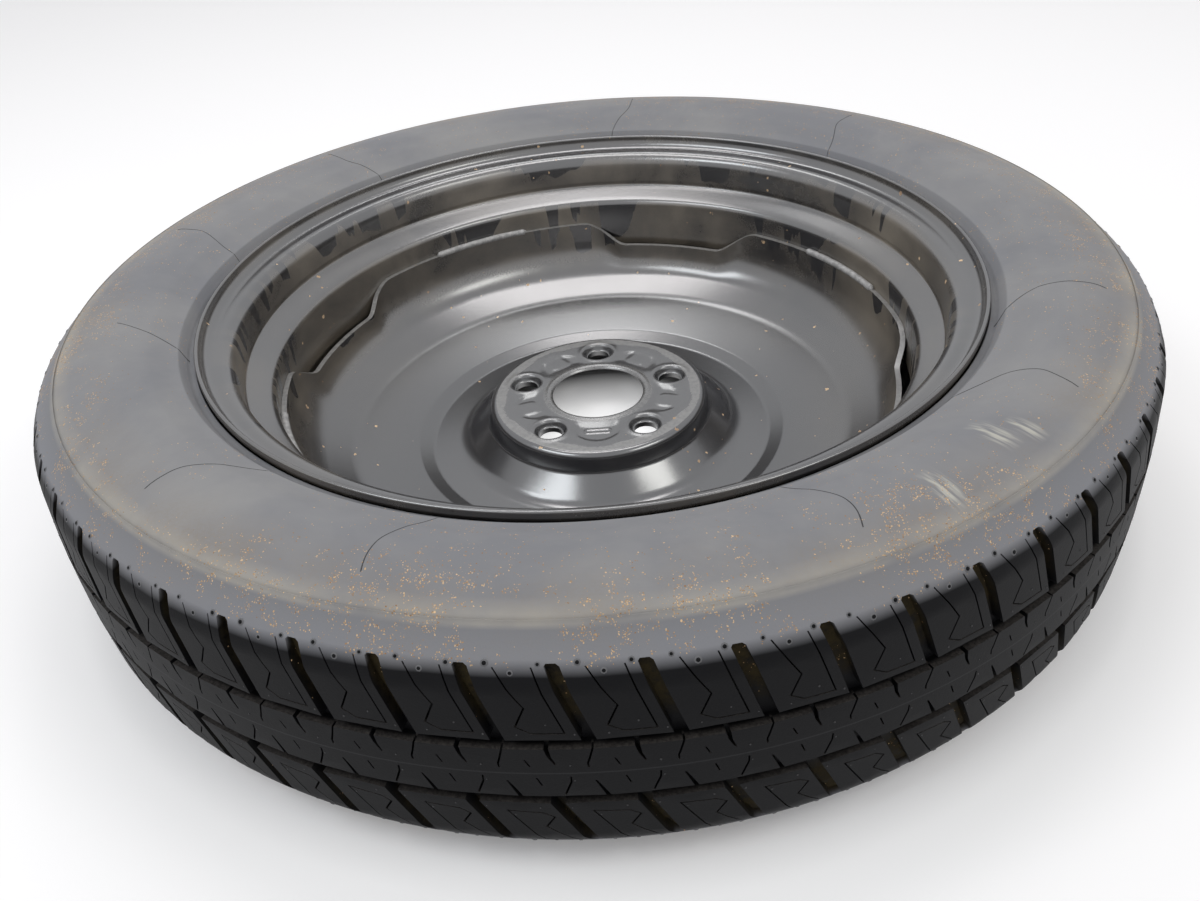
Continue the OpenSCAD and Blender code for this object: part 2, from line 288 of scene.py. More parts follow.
def colour(r, g, b):
    return (r, g, b, 1.0)


# Shared effects: crumbs of dry dirt and a film of dust

def buildCrumbs(n, given):
    # Grains of a few sizes and tints, crowded together where the patches say so
    wobble = n.add("ShaderNodeTexNoise", {"Vector": given["Vector"], "Scale": 700.0, "Detail": 1.0})["Color"]
    shifted = n.add("ShaderNodeVectorMath", {0: wobble, 1: (0.0011,) * 3, 2: given["Vector"]},
                    operation="MULTIPLY_ADD")[0]
    cells = n.add("ShaderNodeTexVoronoi", {"Vector": shifted, "Scale": given["Scale"]})
    parts = n.apart(cells["Color"])
    wide = n.ramp(n.noise(given["Vector"], given["Patches"], 3.0, 0.6), 0.41, 0.63)
    close = n.ramp(n.noise(given["Vector"], 190.0, 2.0, 0.6), 0.46, 0.66)
    present = n.math("LESS_THAN", parts["X"], n.times(wide, close, given["Amount"]))
    size = n.ramp(parts["Y"], 0.0, 1.0, 0.16, 0.5)
    return {"Mask": n.times(present, n.math("LESS_THAN", cells["Distance"], size)),
            "Color": n.mix(parts["Z"], colour(0.30, 0.17, 0.08), colour(0.80, 0.55, 0.31))}


def buildFilm(n, given):
    cloud = n.noise(given["Vector"], given["Scale"], 5.0, 0.62, 0.4)
    grain = n.noise(given["Vector"], 1400.0, 2.0, 0.7)
    level = n.math("ADD", cloud, n.times(n.math("SUBTRACT", grain, 0.5), 0.22))
    return {"Mask": n.times(n.ramp(level, 0.34, 0.72), given["Amount"])}


crumbs = makeTree("Shader", "crumbs", [("Vector", "Vector"), ("Scale", "Float", 900.0), ("Patches", "Float", 30.0),
                                       ("Amount", "Float", 0.5)], ["Mask", "Color"], buildCrumbs)
film = makeTree("Shader", "dustFilm", [("Vector", "Vector"), ("Scale", "Float", 9.0), ("Amount", "Float", 1.0)],
                ["Mask"], buildFilm)


# Finishes

def drips(n, angle, height, top, longest):
    # Runs of cleaner paint that hang from a level, in groups round the axis
    place = n.joined(X=n.times(angle, 17.0), Y=top * 90)
    group = n.joined(X=n.times(angle, 2.3), Y=top * 40)
    there = n.ramp(n.noise(group, 1.0, 2.0), 0.46, 0.53)
    fingers = n.ramp(n.noise(place, 1.0, 1.5, 0.5), 0.46, 0.54, 0.0, longest)
    slower = n.ramp(n.noise(place, 0.45, 1.0), 0.35, 0.65, 0.45, 1.0)
    below = n.math("SUBTRACT", top, height)
    inside = n.ramp(n.math("SUBTRACT", n.times(fingers, slower, there), below), 0.0, 0.0015)
    return n.times(inside, n.ramp(below, -0.004, 0.002))


def paintFinish(name, dustAmount, bare, dustFrom, runs):
    # Satin black paint under a brown film of dust, thicker on walls, with cleaner runs in it
    look = dict(base=colour(0.009, 0.009, 0.012), dust=colour(0.22, 0.185, 0.14), wearAndEdgeHighlight=colour(0.29, 0.28, 0.265),
                roughness=0.2, dusty=0.3, orangePeel=0.03, gloss=2.3, lipFrom=0.229, lipTo=0.236, lipDust=0.5,
                cleaned=0.9)
    material, n, shader, where = newMaterial(name)
    radius, angle, height = n.polar(where)
    steep = n.ramp(n.math("ABSOLUTE", n.facing("Normal")), 0.25, 0.85, 1.0, bare)
    mask = n.times(n.use(film, Vector=where, Amount=dustAmount)["Mask"], steep,
                   n.ramp(radius, dustFrom, dustFrom + 0.03),
                   n.ramp(radius, look["lipFrom"], look["lipTo"], 1.0, look["lipDust"]))
    for top, longest in runs:
        run = n.times(drips(n, angle, height, top, longest), look["cleaned"])
        mask = n.times(mask, n.math("SUBTRACT", 1.0, run))
    bits = n.use(crumbs, Vector=where, Scale=300.0, Amount=0.06, Patches=14.0)
    grain = n.ramp(n.noise(where, 420.0, 3.0, 0.6), 0.35, 0.65, 0.55, 1.0)
    # Worn paint where the scuff attribute says, which along the disc's top edge is also a painted highlight
    wearAndEdgeHighlight = n.times(n.attribute("scuffAndEdgeHighlight"), grain)
    base = n.mix(wearAndEdgeHighlight, n.mix(mask, look["base"], look["dust"]), look["wearAndEdgeHighlight"])
    rough = n.math("ADD", look["roughness"], n.times(n.math("MAXIMUM", mask, wearAndEdgeHighlight), look["dusty"]))
    n.fill(shader, {"Base Color": n.mix(bits["Mask"], base, bits["Color"]),
                    "Roughness": n.math("MAXIMUM", rough, n.times(bits["Mask"], 0.8)), "IOR": look["gloss"],
                    "Normal": n.bump(n.noise(where, 260.0, 2.0, 0.5), look["orangePeel"], 0.0006)})
    return material


# Rubbed places on the sidewall: x and y in metres, turn in radians, half length in metres
tyreScratches = ((0.1798, -0.2335, -0.86, 0.014), (0.196, -0.2308, -0.84, 0.011), (0.1453, -0.2687, -1.0, 0.014))


def scratched(n, where, x, y, turn, reach):
    # Share of a group of parallel streaks that fades towards its ends and sides
    parts = n.apart(n.add("ShaderNodeMapping", {"Vector": where, "Location": (x, y, 0), "Rotation": (0, 0, turn)},
                          vector_type="TEXTURE")[0])
    flat = n.joined(X=n.times(parts["X"], 0.12), Y=parts["Y"])
    return n.times(n.ramp(n.noise(flat, 380.0, 2.0), 0.42, 0.6),
                   n.ramp(n.math("ABSOLUTE", parts["X"]), reach, reach * 0.4),
                   n.ramp(n.math("ABSOLUTE", parts["Y"]), reach * 0.55, reach * 0.2))


def rubberFinish():
    # Grey sidewall with bloom, dust and crumbs and its sheen painted into the grey, a painted highlight along the
    # shoulder, near-black tread, brown soil down in the grooves
    # side is grey rubber with its sheen painted in; edge is the colour of the painted highlight along the shoulder
    look = dict(tread=colour(0.004, 0.004, 0.0048), side=colour(0.228, 0.23, 0.243), bloom=colour(0.37, 0.36, 0.345),
                edge=colour(0.262, 0.265, 0.285), soil=colour(0.05, 0.038, 0.018), dust=colour(0.06, 0.054, 0.05),
                film=colour(0.275, 0.23, 0.18), ridge=colour(0.42, 0.39, 0.34), scratch=colour(0.62, 0.6, 0.52),
                mouldLine=colour(0.03, 0.03, 0.032), ventRing=colour(0.16, 0.16, 0.165), treadRoughness=0.55,
                sideRoughness=0.62, sheen=0.12)
    material, n, shader, where = newMaterial("tyreRubber")
    radius, height = n.polar(where)[::2]
    lift = n.math("ABSOLUTE", n.math("SUBTRACT", height, midZ * mm))
    groove, vent = n.attribute("groove"), n.attribute("vent")
    # Sidewall colour, from the shoulder inwards, with a lighter band along the shoulder that is a painted highlight
    edge = n.math("ADD", lift, n.times(n.noise(where, 17.0, 3.0, 0.5), 0.003))
    sideShare = n.times(n.ramp(edge, 0.0545, 0.0605), n.math("SUBTRACT", 1.0, groove))
    paintedShoulderHighlight = n.ramp(lift, 0.0555, 0.067, 1.0, 0.0)
    base = n.mix(sideShare, look["tread"], n.mix(paintedShoulderHighlight, look["side"], look["edge"]))
    cloud = n.ramp(n.noise(where, 7.0, 5.0, 0.65, 0.3), 0.42, 0.7)
    ridge = n.math("ADD", radius, n.times(n.noise(where, 9.0, 2.0), 0.012))
    inner = n.ramp(ridge, 0.3305, 0.3285)
    base = n.mix(n.times(cloud, sideShare, inner, 0.5), base, look["bloom"])
    # Brown film, thickest inside the ridge, and the paler ridge itself: pale dust on it, and a painted highlight on
    # the step's wall where it would be shaded
    near = n.times(n.ramp(ridge, 0.292, 0.329), n.math("ADD", n.times(inner, 0.75), 0.25))
    speckle = n.ramp(n.noise(where, 620.0, 3.0, 0.7), 0.35, 0.65, 0.35, 1.0)
    brown = n.times(n.ramp(n.noise(where, 13.0, 5.0, 0.65), 0.38, 0.68), near, speckle, sideShare, 0.75)
    base = n.mix(brown, base, look["film"])
    ribDustAndHighlight = n.times(n.ramp(radius, 0.314, 0.322), n.ramp(radius, 0.3272, 0.3256),
                  n.ramp(n.noise(where, 20.0, 4.0, 0.6), 0.35, 0.6, 0.12, 0.6), sideShare)
    base = n.mix(ribDustAndHighlight, base, look["ridge"])
    for scratch in tyreScratches:
        base = n.mix(n.times(scratched(n, where, *scratch), sideShare, 0.65), base, look["scratch"])
    # Dust on the tread's upward faces, lighter also as a painted highlight where they face the light, the mould's
    # middle line, and soil in the grooves
    low = n.times(n.ramp(lift, 0.05, 0.045), n.ramp(n.facing("True Normal"), 0.35, 0.8),
                  n.ramp(groove, 0.7, 0.35), speckle)
    base = n.mix(low, base, look["dust"])
    base = n.mix(n.ramp(lift, 0.0006, 0.0002, 0.0, 0.6), base, look["mouldLine"])
    soil = n.times(groove, n.ramp(n.noise(where, 160.0, 4.0, 0.7), 0.3, 0.6), n.ramp(lift, 0.024, 0.036))
    base = n.mix(soil, base, look["soil"])
    zone = n.times(n.ramp(radius, 0.286, 0.322, 0.12, 1.0), n.ramp(lift, 0.056, 0.061), 2.3)
    bits = n.use(crumbs, Vector=where, Scale=1250.0, Amount=n.math("MAXIMUM", zone, n.times(soil, 0.3)), Patches=24.0)
    base = n.mix(bits["Mask"], base, bits["Color"])
    base = n.mix(n.ramp(vent, 0.3, 0.5), base, look["ventRing"])
    base = n.mix(n.ramp(vent, 0.7, 0.9), base, look["tread"])
    rough = n.mix(sideShare, colour(*[look["treadRoughness"]] * 3), colour(*[look["sideRoughness"]] * 3))
    rough = n.math("ADD", rough, n.times(n.math("MAXIMUM", soil, bits["Mask"]), 0.35))
    grit = n.math("ADD", n.noise(where, 900.0, 3.0, 0.6), n.times(bits["Mask"], 1.2))
    n.fill(shader, {"Base Color": base, "Roughness": rough, "Specular IOR Level": look["sheen"],
                    "Normal": n.bump(grit, 0.16, 0.0005)})
    return material


def simpleFinish(name, base, roughness, metallic=0.0, spots=0.25, scale=300.0, bumpStrength=0.12):
    # Plain moulded or machined surface, darkened in patches and lightly rough
    material, n, shader, where = newMaterial(name)
    cloud = n.noise(where, scale, 4.0, 0.6)
    dark = colour(*[c * (1 - spots) for c in base[:3]])
    n.fill(shader, {"Base Color": n.mix(n.ramp(cloud, 0.35, 0.65), dark, base), "Metallic": metallic,
                    "Roughness": n.ramp(cloud, 0.3, 0.7, roughness * 0.85, min(1.0, roughness * 1.2)),
                    "Normal": n.bump(n.noise(where, scale * 4, 2.0), bumpStrength, 0.0003)})
    return material


rimPaint = paintFinish("rimPaint", 0.95, 0.25, 0.1, ((0.1285, 0.026), (0.0945, 0.04)))
discPaint = paintFinish("discPaint", 0.8, 0.15, 0.13, ((0.082, 0.03),))
tyreRubber = rubberFinish()
beadPaint = simpleFinish("weldBeadPaint", colour(0.5, 0.49, 0.48), 0.35, spots=0.4, scale=260.0, bumpStrength=0.5)
valveRubber = simpleFinish("valveRubber", colour(0.02, 0.02, 0.021), 0.55)
valveBrass = simpleFinish("valveBrass", colour(0.62, 0.44, 0.19), 0.32, metallic=1.0)
sealPlastic = simpleFinish("sealPlastic", colour(0.6, 0.09, 0.05), 0.45)
springSteel = simpleFinish("springSteel", colour(0.55, 0.55, 0.56), 0.3, metallic=1.0)
capPlastic = simpleFinish("capPlastic", colour(0.016, 0.016, 0.017), 0.4)
print("finishes made")


# Geometry Nodes for what repeats

def repeatSector(n, given):
    # Copies of one sector round the wheel's axis, welded into one ring
    sector = n.add("GeometryNodeObjectInfo", {"Object": given["Sector"]})["Geometry"]
    line = n.add("GeometryNodeMeshLine", {"Count": given["Count"], "Offset": (0, 0, 0)})[0]
    turn = n.times(n.math("DIVIDE", tau, given["Count"]), n.add("GeometryNodeInputIndex")[0])
    rotation = n.add("FunctionNodeEulerToRotation", {0: n.joined(Z=turn)})[0]
    copies = n.add("GeometryNodeInstanceOnPoints", {"Points": line, "Instance": sector, "Rotation": rotation})[0]
    real = n.add("GeometryNodeRealizeInstances", {0: copies})[0]
    welded = n.add("GeometryNodeMergeByDistance", {"Geometry": real, "Distance": given["Weld distance"]})[0]
    return n.add("GeometryNodeSetMaterial", {"Geometry": welded, "Material": given["Material"]})


def standOnPoints(n, given):
    # A small shape stood on each given point, along the point's own direction
    shape = n.add("GeometryNodeObjectInfo", {"Object": given["Shape"]})["Geometry"]
    along = n.add("GeometryNodeInputNamedAttribute", {"Name": "along"}, data_type="FLOAT_VECTOR")[0]
    rotation = n.add("FunctionNodeAlignRotationToVector", {"Vector": along}, axis="Z")[0]
    size = n.add("FunctionNodeRandomValue", {2: given["Smallest"], 3: given["Largest"], "Seed": 5},
                 data_type="FLOAT")[1]
    copies = n.add("GeometryNodeInstanceOnPoints", {"Points": given["Points"], "Instance": shape,
                                                    "Rotation": rotation, "Scale": size})[0]
    real = n.add("GeometryNodeRealizeInstances", {0: copies})[0]
    return n.add("GeometryNodeSetMaterial", {"Geometry": real, "Material": given["Material"]})


sectorRing = makeTree("Geometry", "sectorRing", [("Sector", "Object"), ("Count", "Int"), ("Weld distance", "Float"),
                                                 ("Material", "Material")], ["Geometry"], repeatSector)
shapesOnPoints = makeTree("Geometry", "shapesOnPoints", [("Points", "Geometry"), ("Shape", "Object"),
                                                         ("Smallest", "Float"), ("Largest", "Float"),
                                                         ("Material", "Material")], ["Geometry"], standOnPoints)


def nodesResult(carrier, tree, name, inputs):
    # Runs the tree on the carrier and keeps its result as a plain mesh
    modifier = carrier.modifiers.new(tree.name, "NODES")
    modifier.node_group = tree
    for item in tree.interface.items_tree:
        if item.in_out == "INPUT" and item.name in inputs:
            modifier[item.identifier] = inputs[item.name]
    return plainMesh(carrier, name)


# Tyre: one sector of tread, sidewalls and inner wall, cut by its grooves and sipes, then repeated

tyre = dict(pitches=57, columns=4, treadRadius=344.5, ringPlace=18.2, ringWidth=5.4, grooveWidth=6.4,
            slantUp=18.0, slantDown=24.0, grooveDepth=6.0, deepUpTo=50.0, topDepth=3.6, grooveEnd=60.0, endCut=1.2,
            firstGroove=2.0, sipeWidth=0.75, sipeDepth=3.2, notchWide=2.1, notchNarrow=0.9,
            notchDepth=4.2, treadEdge=68.0, rowGap=7.6, shoulder=46.0, shoulderGap=2.2, clearOfCuts=0.75,
            weldDistance=0.00002, vents=((10.9, 60.2), (20.1, 56.3), (32.6, 59.8)),
            specks=((9.5, 24.3), (23.7, 30.0), (33.4, 24.3), (21.0, 5.0)))
pitch = tau * tyre["treadRadius"] / tyre["pitches"]

tyreOutside = [[344.5, 0], [344.4, 20], [342.4, 48.4], [337.2, 58.35], [324.6, 69.6], [324.2, 70.4], [304.2, 75],
               [288.2, 75], [272.5, 71], [256.9, 64], [252.5, 56.5], [249.0, 57.6], [248.8, 50.5],
               [231.3, 50.5], [229.9, 33.3]]
tyreBends = [0, 40, 9, 14, 5, 5, 30, 30, 26, 2.5, 1.6, 0.4, 6.4, 6.2, 1]
tyreArcSteps = [0, 0, 3, 3, 3, 2, 2, 5, 5, 6, 2, 2, 2, 5, 4, 2]
tyreInside = [[237.5, 32.3], [254.5, 49.8], [265.5, 63.5], [296.5, 68.5], [313.5, 64.5], [332.5, 44.4], [332.5, 0]]
tyreInsideBends = [1.5, 14, 16, 26, 16, 12, 0]

# Cuts in unslanted coordinates: round the tyre from one groove's middle, and across the tread
tyreSipes = [[(13.5, 58.6), (18.9, 39.5), (10.8, 28.9), (15.9, 25.1), (29.7, 25.0), (29.4, 58.6)],
             [(15.5, -58.6), (14.7, -46.6), (12.4, -27.0), (27.7, -28.3), (30.9, -31.6), (23.1, -39.2),
              (29.0, -50.0), (30.0, -58.6)],
             [(36.8, 15.8), (32.2, 9.9), (29.2, 6.3), (28.0, 3.6)], [(4.0, 8.9), (3.6, 4.1)],
             [(17.0, -2.2), (14.9, -5.9), (11.2, -10.0), (7.2, -14.4)], [(1.8, -3.0), (1.0, -8.4)]]
tyreNotches = [[(17.3, 15.8), (15.6, 10.6), (15.2, 5.5)], [(25.1, -15.8), (25.6, -9.8), (25.8, -5.1)]]


def tyreShift(v):
    # How far the tread pattern has moved round the tyre at distance v from the middle of the tread
    place = tyre["ringPlace"]
    if v >= place:
        return -(min(v, tyre["treadEdge"]) - place) * tan(radians(tyre["slantUp"]))
    if v <= -place:
        return pitch / 2 + (min(-v, tyre["treadEdge"]) - place) * tan(radians(tyre["slantDown"]))
    return (place - v) / (2 * place) * pitch / 2


def tyreAngle(u, v):
    return radians(tyre["firstGroove"]) + (u + tyreShift(v)) / tyre["treadRadius"]


def thickLine(points, start, end, gap=6.5):
    # Outline of a cut that follows a line of points, from one width to the other
    line = roundedPath(points, [0] * len(points), gap=gap)
    width = start + (end - start) * np.linspace(0, 1, len(line))[:, None]
    a, b = sideways(line, 0.5), sideways(line, -0.5)
    return np.vstack([line + (a - line) * width, (line + (b - line) * width)[::-1]])


def turning(loop):
    # Twice the area inside a flat loop, positive when it runs anticlockwise
    x, y = np.array(loop, float).T
    return float((x * np.roll(y, -1) - y * np.roll(x, -1)).sum())


def farFrom(p, loops, distance):
    for loop in loops:
        d = np.roll(loop, -1, 0) - loop
        s = np.clip(((p - loop) * d).sum(1) / (d * d).sum(1), 0, 1)
        if np.min(np.linalg.norm(loop + d * s[:, None] - p, axis=1)) < distance:
            return False
    return True


outside = roundedPath(tyreOutside, tyreBends, tyreArcSteps, gap=4.5)
length = np.concatenate([[0], np.cumsum(np.linalg.norm(np.diff(outside, axis=0), axis=1))])
slopes = np.gradient(outside, length, axis=0)


def onCurve(curve, v):
    return np.interp(abs(v), length, curve[:, 0]), np.interp(abs(v), length, curve[:, 1])


def onTread(u, v, depth):
    (r, h), (sr, sh) = onCurve(outside, v), onCurve(slopes, v)
    n = hypot(sr, sh)
    return atTurn(r - depth * sh / n, tyreAngle(u, v), copysign(h + depth * sr / n, v))


def buildTyre():
    t = tyre
    low, high = t["ringPlace"] - t["ringWidth"] / 2, t["ringPlace"] + t["ringWidth"] / 2
    half, edge, top, columns = t["grooveWidth"] / 2, t["treadEdge"], t["grooveEnd"], t["columns"]
    cut = top - t["endCut"]
    levels = [*np.arange(0, t["shoulder"], t["rowGap"]), *np.arange(t["shoulder"], edge - 0.5, t["shoulderGap"])]
    levels = {round(float(v), 4) for v in (*levels, edge, low, high, top, cut)}
    levels = sorted({-v for v in levels} | levels)
    land, sipe, notch, groove = range(4)
    points, outlines, kinds = [], [], []

    def outline(corners, kind):
        if turning(corners) < 0:
            corners = corners[::-1]
        outlines.append(list(range(len(points), len(points) + len(corners))))
        kinds.append(kind)
        points.extend((float(a), float(b)) for a, b in corners)

    between = [pitch * k / columns for k in range(1, columns)]
    outline([(0.0, v) for v in levels] + [(u, edge) for u in between] + [(pitch, v) for v in reversed(levels)]
            + [(u, -edge) for u in reversed(between)], land)
    for s in (1, -1):
        steps = [(half, s * v) for v in levels if high < v < cut]
        left = [(0, s * high), (half, s * high), *steps, (half, s * cut), (half - t["endCut"], s * top), (0, s * top)]
        outline([(0, s * low), (pitch, s * low), (pitch, s * high), (0, s * high)], groove)
        outline(left, groove)
        outline([(pitch - u, v) for u, v in left], groove)
    for line in tyreSipes:
        outline(thickLine(line, t["sipeWidth"], t["sipeWidth"]), sipe)
    for line in tyreNotches:
        outline(thickLine(line, t["notchWide"], t["notchNarrow"]), notch)
    cuts = [np.array([points[i] for i in loop]) for loop in outlines[1:]]
    points += [(u, v) for v in levels[1:-1] for u in between if farFrom(np.array([u, v]), cuts, t["clearOfCuts"])]
    cdt = geometry.delaunay_2d_cdt([Vector(p) for p in points], [], outlines, 0, 1e-5)
    flat, triangles, owners = cdt[0], cdt[2], cdt[5]

    def depthAt(kind, v):
        if kind == groove:
            return float(np.interp(abs(v), [t["deepUpTo"], top], [t["grooveDepth"], t["topDepth"]]))
        return (0.0, t["sipeDepth"], t["notchDepth"])[kind]

    verts, faces, soiled, index = [], [], [], {}

    def vertex(i, kind):
        if (i, kind) not in index:
            index[i, kind] = len(verts)
            u, v = flat[i]
            verts.append(onTread(u, v, depthAt(kind, v)))
            soiled.append(1.0 if kind == groove else 0.0)
        return index[i, kind]

    sides = {}
    for triangle, own in zip(triangles, owners):
        kind = max((kinds[i] for i in own), default=land)
        faces.append([vertex(i, kind) for i in triangle])
        for a, b in zip(triangle, list(triangle[1:]) + [triangle[0]]):
            sides[a, b] = kind
    sharp = []
    for (a, b), kind in sides.items():
        other = sides.get((b, a), kind)
        if other < kind:
            upperA, upperB, lowerA, lowerB = vertex(a, other), vertex(b, other), vertex(a, kind), vertex(b, kind)
            faces.append([lowerB, lowerA, upperA, upperB])
            sharp += [(upperA, upperB), (lowerA, lowerB)]

    # Sidewalls and inner wall, in plain rows
    rest = [p for p, s in zip(outside, length) if s > edge + 0.8]
    wall = np.vstack([[onCurve(outside, edge)], rest, roundedPath(tyreInside, tyreInsideBends, 2)])
    for s in (1, -1):
        faces += gridFaces(len(verts), len(wall), columns + 1, flip=s < 0)
        verts += [atTurn(r, tyreAngle(pitch * k / columns, s * edge), s * h)
                  for r, h in wall for k in range(columns + 1)]
    soiled += [0.0] * (len(verts) - len(soiled))
    sector = meshObject("tyreSector", verts, faces, sharp=sharp, attributes={"groove": soiled})
    made = nodesResult(meshObject("tyreCarrier", [(0, 0, 0)], []), sectorRing, "tyreBody",
                       {"Sector": sector, "Count": t["pitches"], "Weld distance": t["weldDistance"],
                        "Material": tyreRubber})
    bpy.data.objects.remove(sector)
    return made


def buildStubs(name, rings, spots, smallest, largest, around=8):
    # Stubs left by the mould's vents, on every block of both shoulders. Rings: radius, height, mark
    last = 1 + (len(rings) - 1) * around
    verts, marks = [(0, 0, rings[-1][1] * mm)], [rings[-1][2]]
    for radius, height, mark in rings:
        verts += [(x * mm, y * mm, height * mm) for x, y in zip(*ringOf(radius, around))]
        marks += [mark] * around
    faces = gridFaces(1, len(rings), around, closedColumns=True)
    faces += [(last + k, last + (k + 1) % around, 0) for k in range(around)]
    faces.append(tuple(reversed(range(1, around + 1))))
    shape = meshObject("stubShape", verts, faces, attributes={"vent": marks})
    places, along = [], []
    for side in (1, -1):
        for k in range(tyre["pitches"]):
            for u, v in spots:
                u = (u if side > 0 else pitch - u) + k * pitch
                places.append(np.array(onTread(u, side * v, 0)))
                along.append(places[-1] - np.array(onTread(u, side * v, 1.0)))
    carrier = meshObject(name + "Points", places, [])
    directions = carrier.data.attributes.new("along", "FLOAT_VECTOR", "POINT")
    directions.data.foreach_set("vector", np.array(along, float).ravel())
    made = nodesResult(carrier, shapesOnPoints, name, {"Shape": shape, "Smallest": smallest, "Largest": largest,
                                                       "Material": tyreRubber})
    bpy.data.objects.remove(shape)
    return made


# Mould seams on the sidewall, each as radii in mm with turns in degrees
seam = dict(step=1.6, halfWide=0.4, rise=0.22, sink=0.1, mark=0.83, lowest=56, nearest=251, evenings=3)
seamPaths = [((252, -107.6), (267, -108.6), (276, -109.9), (284, -110.6), (296, -110.9), (309, -110.3)),
             ((252, -72.6), (267, -71.6), (276, -70.2), (284, -69.5), (296, -69.2), (308, -70.1)),
             ((252, -129.4), (261, -131.2), (270, -133.7), (279, -135.4), (293, -136.1), (308, -135.7)),
             ((252, -48.0), (258.6, -45.5), (264.5, -43.2), (275.6, -40.0), (288, -39.4), (308, -40.8)),
             ((252, -25.6), (259.9, -21.9), (268, -20.2), (277.6, -19.3), (300.8, -19.5), (309, -20.5)),
             ((252, -165.2), (263.7, -168.1), (277.7, -170.4), (292, -172.1)),
             ((252, 40.0), (267, 41.0), (284, 43.1), (308, 43.2)),
             ((252, 83.0), (267, 82.0), (284, 79.9), (308, 79.8)),
             ((252, 128.0), (267, 129.0), (284, 131.1), (308, 131.2)),
             ((252, 164.0), (267, 163.0), (284, 161.0), (308, 160.9))]


def buildSeams():
    # Fine raised lines where the mould's plates meet, from the rim out over the sidewall
    fine = roundedPath(tyreOutside, tyreBends, 6, gap=2.0)
    rs, hs = np.array([p for p in fine if p[1] > seam["lowest"] and p[0] > seam["nearest"]])[::-1].T
    profile = ((-seam["halfWide"], -seam["sink"]), (0, seam["rise"]), (seam["halfWide"], -seam["sink"]))
    span = 2 * seam["step"]
    verts, faces = [], []
    for side in (1, -1):
        for path in seamPaths:
            reach = np.arange(path[0][0], path[-1][0] + 0.1, seam["step"])
            turn = np.radians(np.interp(reach, *zip(*path)))
            for evening in range(seam["evenings"]):
                turn[2:-2] = np.convolve(turn, np.ones(5) / 5, "valid")
            faces += gridFaces(len(verts), len(reach), len(profile), flip=side > 0)
            for i, (r, a) in enumerate(zip(reach, turn)):
                d = (turn[min(i + 1, len(turn) - 1)] - turn[max(i - 1, 0)]) * r
                n = hypot(d, span)
                h = np.interp(r, rs, hs)
                verts += [atTurn(r - across * d / n, a + across * span / n / r, side * (h + lift))
                          for across, lift in profile]
    made = meshObject("mouldSeams", verts, faces, tyreRubber, attributes={"vent": [seam["mark"]] * len(verts)})
    if made.data.polygons[0].normal.z < 0:
        made.data.flip_normals()
    return made


def joinInto(made, extra):
    with bpy.context.temp_override(active_object=made, object=made, selected_objects=[made, extra],
                                   selected_editable_objects=[made, extra]):
        bpy.ops.object.join()


tyreBody = buildTyre()
vents = buildStubs("ventStubs", [(1.7, -0.2, 0.0), (1.45, 0.08, 0.6), (0.9, 0.1, 0.6), (0.85, 0.3, 1.0)],
                   tyre["vents"], 0.8, 1.1)
specks = buildStubs("treadSpecks", [(0.5, -0.1, 0.37), (0.35, 0.2, 0.37)], tyre["specks"], 0.7, 1.2)
for extra in (vents, specks, buildSeams()):
    joinInto(tyreBody, extra)
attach(tyreBody, "wheel")
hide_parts("tyre")
print("tyre made:", triangleCount(tyreBody), "triangles")


# Rim: one rolled band of sheet, both faces and both edges

rim = dict(sheet=2.6, columns=320, gap=4.0, edgeBulge=0.75, edgeStart=0.35, edgeSteps=5, edgeCut=0.3,
           half=[[248.5, 62.0], [248.5, 50.8], [231, 50.8], [229.34, 31.8], [230.24, 26.6], [213.2, 18.0]],
           bends=[0, 6.9, 6.5, 3, 2.4, 3])


def bentSheet(path, bends, thickness, arcSteps, gap):
    # Both faces of a sheet that lies to the left of the path, whose bend radii are the inner ones
    path = np.array(path, float)
    near, far = [0], [0]
    for i in range(1, len(path) - 1):
        a, b = path[i] - path[i - 1], path[i + 1] - path[i]
        left = a[0] * b[1] - a[1] * b[0] > 0
        near.append(bends[i] + (thickness if left else 0))
        far.append(bends[i] + (0 if left else thickness))
    one = roundedPath(path, near + [0], arcSteps, gap)
    two = roundedPath(sideways(path, thickness), far + [0], arcSteps, gap)
    return one, two


def buildRim():
    path = [[r, -h] for r, h in rim["half"]] + rim["half"][::-1]
    outer, inner = bentSheet(path, rim["bends"] + rim["bends"][::-1], rim["sheet"], 6, rim["gap"])
    # Round over both edges of the sheet
    ends = []
    for a, b, sign in ((outer[-1], inner[-1], 1), (inner[0], outer[0], -1)):
        mid, reach = (a + b) / 2, (b - a) / 2
        bulge = np.array([0, sign * np.linalg.norm(reach) * rim["edgeBulge"]])
        turns = np.linspace(rim["edgeStart"], pi - rim["edgeStart"], rim["edgeSteps"])
        ends.append([mid - reach * cos(x) + bulge * sin(x) for x in turns])
    for line in (outer, inner):
        line[-1][1] -= rim["edgeCut"]
        line[0][1] += rim["edgeCut"]
    section = np.vstack([outer, ends[0], inner[::-1], ends[1]])
    verts = [atTurn(r, k * tau / rim["columns"], h) for k in range(rim["columns"]) for r, h in section]
    return meshObject("rimBand", verts, gridFaces(0, rim["columns"], len(section), True, True, flip=True), rimPaint)


rimBand = buildRim()
outwards(rimBand)
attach(rimBand, "wheel")
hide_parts("rim")
print("rim made")


# Disc: one pressing, from the bore's rolled edge out to its four flange segments

